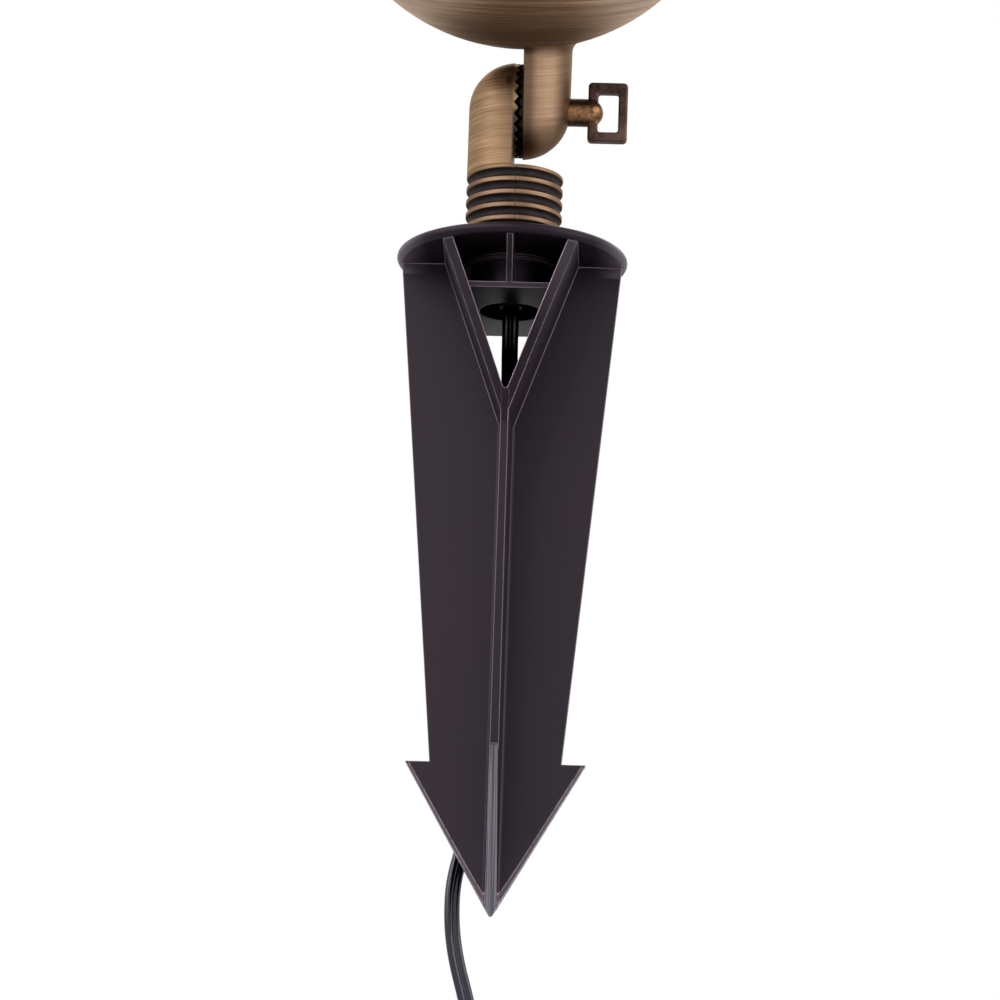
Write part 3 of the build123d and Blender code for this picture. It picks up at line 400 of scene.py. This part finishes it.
def stake_plastic():
    """Dark moulded plastic with painted highlights along its edges, the lips of its slanted cuts and the
    flange's outer tips, painted shade on the fork's front faces, and streaks on the slanted cuts below
    its barbs.
    """
    finish = Finish("stake_plastic", specular_ior_level=0.34, specular_tint=(0.98, 0.87, 1.0, 1))
    x, y, z = finish.axes()
    edge, rounded = finish.edges(0.0005)
    cloud = finish.noise(finish.place, 22, 4, 0.55)
    patch = finish.noise(finish.scaled(finish.place, (9, 9, 4)), 1, 2).above(0.35, 0.65)
    grain = finish.noise(finish.place, 1100, 2)
    drawn = finish.noise(finish.scaled(finish.place, (1500, 16, 16)), 1, 2)
    specks = finish.noise(finish.place, 760, 1).above(0.79, 0.84)
    base = finish.mix(patch, shade(14, 12, 22), shade(27, 15, 23))
    base = finish.mix(cloud.above(0.35, 0.7) * 0.5, base, shade(22, 19, 24))
    facing = finish.node("ShaderNodeNewGeometry", output="Normal")
    leaning = finish.axes(facing)[2]
    below_barb = z.below(-barb_depth - 0.0008, -barb_depth - 0.0002)
    cut = leaning.below(-0.45, -0.3) * leaning.above(-0.92, -0.86) * below_barb
    out = (x * x + y * y).math("SQRT")
    past_cut = (barb_reach - out) * tip_rise + (z + barb_depth) * barb_reach
    to_cut = past_cut.math("ABSOLUTE") / cut_length
    off_rib = z.above(rib_foot - 0.00075, rib_foot + 0.00075) * (1 - cut)
    band = to_cut.below(0.0006, 0.0008) * below_barb * off_rib
    # Painted highlight: a pale line just inside the edge of each slanted cut
    cut_edge_highlight = to_cut.above(0.00045, 0.0006) * to_cut.below(0.00075, 0.00095) * below_barb * off_rib
    cut_face = finish.mix(drawn.above(0.36, 0.66), shade(78, 75, 84), shade(136, 133, 143))
    base = finish.mix(cut, base, cut_face)
    base = finish.mix(band * (0.5 + cloud * 0.5), base, shade(98, 84, 92))
    base = finish.mix(cut_edge_highlight * drawn.above(0.25, 0.55) * 0.85, base, shade(158, 146, 150))
    in_front = y.below(fork_front - 0.0005, fork_front + 0.0005)
    fork_face_shade = in_front * z.above(fork_foot - 0.0015, fork_foot + 0.0015) * z.below(-0.0008, -0.0003)
    flange_band = z.above(-0.0004, 0.0002) * z.below(0.0022, 0.0030)
    # Painted shade: the fork arms' front faces darkened, also made partly metallic and smoother to dim
    # them
    base = finish.mix(fork_face_shade * 0.8, base, shade(22, 16, 22))
    # Painted highlight: pale lines along every sharp edge, where rounded edges would catch the light
    line = edge.above(0.25, 0.65)
    base = finish.mix(line * (0.55 + cloud * 0.6), base, shade(182, 160, 178))
    # Painted reflection: the flange's two outer tips turned paler, as at a grazing reflection of the
    # white surround
    flange_tip_reflection = (x * x).math("SQRT").above(0.024, 0.034) * z.above(-0.0036, -0.003)
    base = finish.mix(flange_tip_reflection * 0.5, base, shade(116, 102, 114))
    base = finish.mix(specks * 0.3, base, shade(110, 98, 108))
    finish.feed(
        base_color=base,
        metallic=fork_face_shade * 0.5 + flange_band * (1 - flange_tip_reflection) * 0.4,
        roughness=0.36 + cloud * 0.12 + grain * 0.06 - cut * 0.05 - fork_face_shade * 0.1,
        normal=finish.bump(grain * 0.4 + drawn * cut, 0.00004, rounded),
    )
    return finish.material


def cable_jacket():
    """Satin black jacket with faint lines along it."""
    finish = Finish("cable_jacket", specular_ior_level=0.62, specular_tint=(0.84, 0.86, 1.0, 1))
    cloud = finish.noise(finish.place, 60, 3)
    lines = finish.noise(finish.scaled(finish.place, (2600, 2600, 40)), 1, 2)
    finish.feed(
        base_color=finish.mix(cloud, shade(5, 5, 8), shade(11, 11, 15)),
        roughness=0.13 + lines * 0.08 + cloud * 0.05,
        normal=finish.bump(lines, 0.00003),
    )
    return finish.material


def soft_black(name, dark, pale, roughness):
    """Rubber or nylon, paler along its edges."""
    finish = Finish(name)
    edge, rounded = finish.edges(0.0002)
    cloud = finish.noise(finish.place, 180, 4)
    grain = finish.noise(finish.place, 2400, 2)
    base = finish.mix(cloud.above(0.3, 0.7), dark, pale)
    finish.feed(
        base_color=finish.mix(edge * 0.4, base, tuple(part * 1.8 + 0.02 for part in pale)),
        roughness=roughness + grain * 0.15,
        normal=finish.bump(grain, 0.00003, rounded),
    )
    return finish.material


# Finishes of the brass

# Dark brown: real patina on the worn mark and the seam; painted shade and painted dark reflection on the
# brass elsewhere
patina_and_shade_dark = shade(60, 42, 30)
# Bright brass for the brightest brushed lines, and painted golden glints along edges
bright_brass_and_glint = shade(196, 160, 116)


def brush_lines(finish, place):
    """Fine and middle lines over a place's third number, and three sizes of them together."""
    fine = finish.noise(finish.scaled(place, (130, 130, 6400)), 1, 2)
    middle = finish.noise(finish.scaled(place, (60, 60, 2400)), 1, 3)
    broad = finish.noise(finish.scaled(place, (24, 24, 620)), 1, 3)
    return fine, middle, fine * 0.35 + middle * 0.4 + broad * 0.3


def aged_bowl():
    """The bowl casting: lathe lines round the bowl, brushed lines across the knuckle, darker towards the
    knuckle's foot, painted dark reflection at the bowl's bottom centre and pale reflection at its sides,
    painted shade on the knuckle's turned-away sides and its teeth, and painted glints on its edges.
    """
    finish = Finish("aged_bowl_brass", metallic=1.0, specular_tint=(0.84, 0.74, 0.66, 1))
    x, y, z = finish.axes(finish.upright(head_lean))
    rise = ((bowl_height - z) / bowl_radius).math("MINIMUM", 1.0).math("MAXIMUM", -1.0)
    round_bowl = rise.math("ARCCOSINE") * bowl_radius
    on_bowl = z.above(bowl_foot - 0.0005, bowl_foot + 0.0005)
    lines_at = z + on_bowl * (round_bowl - z)
    fine, middle, brushed = brush_lines(finish, finish.point(x * 0.5, y * 0.5, lines_at))
    edge, rounded = finish.edges(0.0004)
    cloud = finish.noise(finish.place, 32, 4)
    streak = brushed.above(0.36, 0.72) * (0.78 + on_bowl * 0.22)
    # Painted reflection: the bowl's bottom centre darkened, as a dark surround below would reflect there
    bowl_bottom_dark_reflection = round_bowl.below(0.030, 0.066) * on_bowl * (x * x).math("SQRT").below(0.012, 0.036)
    # Darker towards the bottom of the knuckle
    foot = z.below(pivot_height - 0.014, pivot_height + 0.006)
    # Painted shade: the knuckle's left and right sides, which turn away from the lamps, darkened
    turned_away_shade = (x - head_shift).above(0.0094, 0.0140) + (x - head_shift).below(0.0023, 0.0056)
    on_knuckle = z.below(knuckle_top - 0.0005, knuckle_top + 0.0005)
    # Painted shade: the head's flat face and teeth, in the narrow gap between the knuckle halves,
    # darkened
    teeth = (x - head_shift).below(half_gap + 0.0001, half_gap + 0.0004) * on_knuckle
    # Painted reflection: the bowl's left and right sides turned paler
    side = (x - 0.004).math("ABSOLUTE").above(0.010, 0.036) * on_bowl
    base = finish.mix(streak, shade(122, 92, 70), shade(180, 148, 119))
    base = finish.mix(streak.above(0.5, 0.95) * 0.6, base, shade(206, 170, 126))
    base = finish.mix((1 - on_bowl) * 0.4, base, shade(198, 166, 136))
    side_reflection_brass = finish.mix(streak, shade(178, 150, 128), shade(232, 212, 194))
    base = finish.mix(side * 0.85, base, side_reflection_brass)
    base = finish.mix(turned_away_shade * (1 - on_bowl) * 0.6, base, patina_and_shade_dark)
    base = finish.mix((bowl_bottom_dark_reflection * 0.78 + foot * 0.78) * (0.7 + cloud * 0.4), base, patina_and_shade_dark)
    # Painted highlight: golden glints along the edges
    base = finish.mix(edge * 0.55 * (1 - teeth), base, bright_brass_and_glint)
    base = finish.mix(teeth * 0.9, base, shade(30, 27, 27))
    finish.feed(
        base_color=base,
        roughness=0.38 + middle * 0.1 + cloud * 0.08 + teeth * 0.15 + bowl_bottom_dark_reflection * 0.2,
        normal=finish.bump(fine * 0.6 + middle, 0.000035, rounded),
    )
    return finish.material


def aged_knuckle():
    """The lower knuckle: brushed lines, rings with dark patina in the grooves between them and painted
    glints on their edges, and painted shade on its domed top and its right half.
    """
    finish = Finish("aged_knuckle_brass", metallic=1.0, specular_tint=(0.8, 0.7, 0.6, 1))
    x, y, z = finish.axes()
    fine, middle, brushed = brush_lines(finish, finish.place)
    edge, rounded = finish.edges(0.0003)
    cloud = finish.noise(finish.place, 45, 4)
    worn = finish.noise(finish.place, 260, 3)
    out = (x * x + y * y).math("SQRT")
    on_neck = z.below(disc_top - 0.0006, disc_top - 0.0001)
    groove = out.below(neck_radius - 0.00042, neck_radius - 0.00012) * on_neck
    teeth = x.above(-half_gap - 0.0005, -half_gap - 0.0001) * z.above(disc_top, disc_top + 0.001)
    streak = brushed.above(0.34, 0.7)
    base = finish.mix(streak, shade(117, 92, 69), shade(168, 138, 110))
    base = finish.mix(streak.above(0.62, 1.0) * 0.35, base, bright_brass_and_glint)
    base = finish.mix(on_neck * 0.45, base, shade(104, 82, 68))
    # Painted shade: the domed top darkened, where it faces up under the bowl and reflects it
    domed_top_shade = (z + x * 0.25 + cloud * 0.003).above(0.0566, 0.0640)
    # Painted shade: the middle and right of the knuckle darkened to dim the lamp's highlight there
    highlight_dimming_shade = x.above(-0.013, -0.004) * z.above(disc_top, disc_top + 0.001)
    base = finish.mix(highlight_dimming_shade * 0.5, base, shade(108, 84, 62))
    base = finish.mix(domed_top_shade * (0.75 + cloud * 0.3), base, shade(50, 34, 23))
    mark_across, mark_up = x - mark_place[0], z - mark_place[1]
    off_mark = mark_across * mark_across + mark_up * mark_up * 0.3
    mark = (off_mark.math("SQRT") + worn * 0.0014).below(0.0011, 0.0021) * y.below(0, 0.001)
    base = finish.mix(mark * 0.7, base, patina_and_shade_dark)
    # Painted highlight: golden glints along the edges of the rings
    base = finish.mix(edge * 0.45, base, bright_brass_and_glint)
    tooth_brass = finish.mix(worn.above(0.3, 0.6), shade(130, 104, 76), shade(206, 172, 130))
    base = finish.mix(teeth * z.below(0.044, 0.050) * 0.8, base, shade(70, 66, 66))
    base = finish.mix(teeth * z.above(0.044, 0.050), base, tooth_brass)
    seam = (x - 0.0006).math("ABSOLUTE").below(0.0001, 0.00025) * y.below(0, 0.001) * on_neck
    groove_patina = finish.mix(cloud, shade(22, 22, 28), shade(38, 35, 42))
    base = finish.mix(seam * 0.6, base, patina_and_shade_dark)
    base = finish.mix(groove * (0.82 + worn * 0.25).math("MINIMUM", 1.0), base, groove_patina)
    finish.feed(
        base_color=base,
        metallic=1 - groove * 0.3,
        roughness=0.43 + middle * 0.08 + groove * 0.12 + cloud * 0.06,
        normal=finish.bump(fine * 0.6 + middle - seam * 2, 0.000028, rounded),
    )
    return finish.material


def cast_screw():
    """The thumb screw: dark brown casting, rubbed bright along its edges and its nose, with painted
    shade on the top and underside of its shaft and a painted highlight on the ring's right edge.
    """
    finish = Finish("cast_screw_brass", metallic=1.0)
    x, y, z = finish.axes()
    edge, rounded = finish.edges(0.0005)
    cloud = finish.noise(finish.place, 190, 4)
    pits = finish.noise(finish.place, 900, 4, 0.6)
    off_axis = (y * y + (z - pivot_height) * (z - pivot_height)).math("SQRT")
    nose = off_axis.below(0.0040, 0.0044) * x.below(nose_end - 0.0004, nose_end + 0.0004)
    handle = x.above(handle_start - 0.00095, handle_start + 0.00095) * (1 - nose)
    rubbed = (cloud * 0.7 + pits * 0.5).above(0.42, 0.8)
    shaft = finish.mix(rubbed, shade(92, 66, 48), shade(186, 140, 96))
    ring = finish.mix(rubbed, shade(62, 48, 46), shade(112, 88, 78))
    # Painted shade: the top and the underside of the shaft darkened
    shaft_turned_away_shade = (z - pivot_height).above(0.0002, 0.0015) + (z - pivot_height).below(-0.0042, -0.0030)
    shaft = finish.mix(shaft_turned_away_shade * 0.88, shaft, shade(46, 31, 22))
    base = finish.mix(handle, shaft, ring)
    base = finish.mix(edge * (0.25 + pits * 0.5), base, shade(176, 140, 104))
    # Painted highlight: a golden line along the ring's right edge
    base = finish.mix(edge * x.above(0.0330, 0.0345) * 0.6, base, shade(222, 184, 132))
    finish.feed(
        base_color=base,
        roughness=0.36 + pits * 0.2 + handle * 0.06,
        normal=finish.bump(pits * 0.7 + cloud, 0.00012, rounded),
    )
    return finish.material


def turned_metal(name, dark, pale, roughness):
    """Machined or rolled metal with fine turning lines about the lamp's axis."""
    finish = Finish(name, metallic=1.0)
    x, y, z = finish.axes(finish.upright(head_lean))
    out = ((x - head_shift) * (x - head_shift) + y * y).math("SQRT")
    line_scale = 1800
    lines = finish.noise(finish.point(out * line_scale, z * line_scale, 0.5), 1, 2)
    cloud = finish.noise(finish.place, 70, 4)
    edge, rounded = finish.edges(0.0003)
    base = finish.mix((lines * 0.5 + cloud * 0.6).above(0.35, 0.8), dark, pale)
    finish.feed(
        base_color=finish.mix(edge * 0.4, base, tuple(min(part * 1.35, 0.95) for part in pale)),
        roughness=roughness + lines * 0.12 + cloud * 0.06,
        normal=finish.bump(lines, 0.00002, rounded),
    )
    return finish.material


def clear_pane(name, tint, roughness):
    """Clear glass or moulded clear plastic with a little dust."""
    finish = Finish(name, transmission_weight=1.0, ior=1.47)
    dust = finish.noise(finish.place, 60, 5, 0.6)
    fleck = finish.noise(finish.place, 1500, 2)
    finish.feed(
        base_color=finish.mix(dust.above(0.45, 0.75) * 0.3, tint, tuple(part * 0.93 for part in tint)),
        roughness=roughness + dust.above(0.5, 0.8) * 0.08,
        normal=finish.bump(fleck, 0.000004),
    )
    return finish.material


def painted_board(name, dark, pale, dots):
    """Circuit board with a faint pattern of pads and tracks."""
    finish = Finish(name, coat_roughness=0.2)
    tracks = finish.node(
        "ShaderNodeTexBrick",
        {"offset": 0.35},
        {
            "Vector": finish.place, "Scale": 190, "Mortar Size": 0.05,
            "Color1": (*dark, 1), "Color2": (*pale, 1), "Mortar": (*dots, 1),
        },
    )
    cloud = finish.noise(finish.place, 150, 3)
    finish.feed(
        base_color=finish.mix(cloud * 0.3, tracks, dark),
        roughness=0.4 + cloud * 0.2,
        coat_weight=cloud * 0.3,
        normal=finish.bump(cloud, 0.00002),
    )
    return finish.material


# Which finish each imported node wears

bowl_brass = aged_bowl()
turned_brass = turned_metal("turned_bezel_brass", shade(112, 84, 60), shade(176, 140, 104), 0.32)
soft_rubber = soft_black("soft_rubber", shade(22, 22, 23), shade(34, 33, 34), 0.6)
clear_glass = clear_pane("clear_glass", (0.97, 0.99, 0.98), 0.02)
finishes = {
    "stake": stake_plastic(),
    "knuckle_base": aged_knuckle(),
    "bowl_housing": bowl_brass,
    "thumb_screw": cast_screw(),
    "bezel": turned_brass,
    "pivot_bush": turned_metal("plain_bronze", shade(120, 84, 50), shade(170, 124, 80), 0.35),
    "face_ring": soft_rubber,
    "shaft_ring": soft_rubber,
    "cable_gland": soft_rubber,
    "bowl_grommet": soft_rubber,
    "lamp_ring": soft_rubber,
    "lens_gasket": soft_black("grey_silicone", shade(110, 110, 108), shade(140, 140, 137), 0.55),
    "hank_tie": soft_black("black_nylon", shade(20, 20, 21), shade(32, 32, 34), 0.4),
    "core_ends": soft_black("white_insulation", shade(205, 204, 198), shade(226, 225, 220), 0.42),
    "stripped_ends": turned_metal("bare_copper", shade(150, 82, 50), shade(214, 136, 92), 0.28),
    "neck_leads": soft_black("neck_insulation", shade(26, 26, 28), shade(40, 40, 42), 0.45),
    "lead_black": soft_black("black_insulation", shade(24, 24, 25), shade(36, 36, 38), 0.45),
    "lead_white": soft_black("pale_insulation", shade(198, 197, 190), shade(222, 221, 215), 0.45),
    "lead_sleeves": soft_black("yellow_sleeve", shade(168, 152, 84), shade(196, 182, 112), 0.35),
    "lamp_tabs": turned_metal("tinned_tab", shade(168, 166, 160), shade(206, 204, 198), 0.3),
    "lamp_body": turned_metal("cast_reflector", shade(176, 177, 178), shade(214, 215, 217), 0.3),
    "driver_board": painted_board(
        "driver_board", shade(20, 74, 40), shade(28, 92, 50), shade(150, 140, 92)
    ),
    "led_board": painted_board(
        "white_board", shade(214, 214, 210), shade(228, 228, 224), shade(200, 186, 120)
    ),
    "led_optics": clear_pane("clear_optics", (0.96, 0.97, 0.97), 0.05),
    "lamp_lens": clear_glass,
    "cover_glass": clear_glass,
    "bezel_screws": turned_metal("stainless_screw", shade(150, 150, 152), shade(196, 196, 198), 0.26),
}
for node_name, finish_material in finishes.items():
    node_mesh = bpy.data.objects[node_name].data
    node_mesh.materials.clear()
    node_mesh.materials.append(finish_material)
flat_cable.data.materials.append(cable_jacket())


# Studio: a pale floor well below, soft lamps, and a white surround

floor_level = -0.74
soft_strength = 0.28

def pale_floor():
    """Plain pale floor, low enough for the camera to stay above it."""
    shape = bmesh.new()
    bmesh.ops.create_grid(shape, x_segments=24, y_segments=24, size=5)
    mesh = bpy.data.meshes.new("studio_floor")
    shape.to_mesh(mesh)
    shape.free()
    floor = bpy.data.objects.new("studio_floor", mesh)
    floor.location.z = floor_level
    bpy.context.scene.collection.objects.link(floor)
    finish = Finish("pale_floor_paint")
    cloud = finish.noise(finish.place, 3, 4)
    finish.feed(
        base_color=finish.mix(cloud, shade(226, 226, 226), shade(234, 234, 234)),
        roughness=0.6 + cloud * 0.1,
    )
    mesh.materials.append(finish.material)


def soft_lamp(name, place, aim, size, power):
    """Square softbox at a place, facing its aim."""
    light = bpy.data.lights.new(name, "AREA")
    light.shape = "RECTANGLE"
    light.size = size[0]
    light.size_y = size[1]
    light.energy = power
    lamp = bpy.data.objects.new(name, light)
    lamp.location = place
    lamp.rotation_mode = "QUATERNION"
    lamp.rotation_quaternion = (Vector(aim) - Vector(place)).to_track_quat("-Z", "Y")
    bpy.context.scene.collection.objects.link(lamp)


def white_surround():
    """World that lights softly, and is plain white to the camera, in reflections and through glass."""
    world = bpy.data.worlds.new("white_surround")
    bpy.context.scene.world = world
    world.use_nodes = True
    tree = world.node_tree
    surround = tree.nodes["Background"]
    surround.inputs["Color"].default_value = (1, 1, 1, 1)
    rays = tree.nodes.new("ShaderNodeLightPath")
    seen = tree.nodes.new("ShaderNodeMath")
    seen.operation = "MAXIMUM"
    tree.links.new(rays.outputs["Is Camera Ray"], seen.inputs[0])
    tree.links.new(rays.outputs["Is Glossy Ray"], seen.inputs[1])
    seen_or_through = tree.nodes.new("ShaderNodeMath")
    seen_or_through.operation = "MAXIMUM"
    tree.links.new(seen.outputs[0], seen_or_through.inputs[0])
    tree.links.new(rays.outputs["Is Transmission Ray"], seen_or_through.inputs[1])
    strength = tree.nodes.new("ShaderNodeMapRange")
    strength.inputs["To Min"].default_value = soft_strength
    strength.inputs["To Max"].default_value = 1.0
    tree.links.new(seen_or_through.outputs[0], strength.inputs["Value"])
    tree.links.new(strength.outputs[0], surround.inputs["Strength"])


pale_floor()
soft_lamp("key_softbox", (-1.5, -1.5, 1.6), (0, 0, -0.03), (3.0, 2.4), 60)
soft_lamp("fill_softbox", (2.0, -1.0, 0.5), (0, 0, -0.05), (1.6, 2.2), 26)
soft_lamp("rim_softbox", (0.3, 1.9, 1.4), (0, 0, 0), (2.0, 1.2), 20)
white_surround()
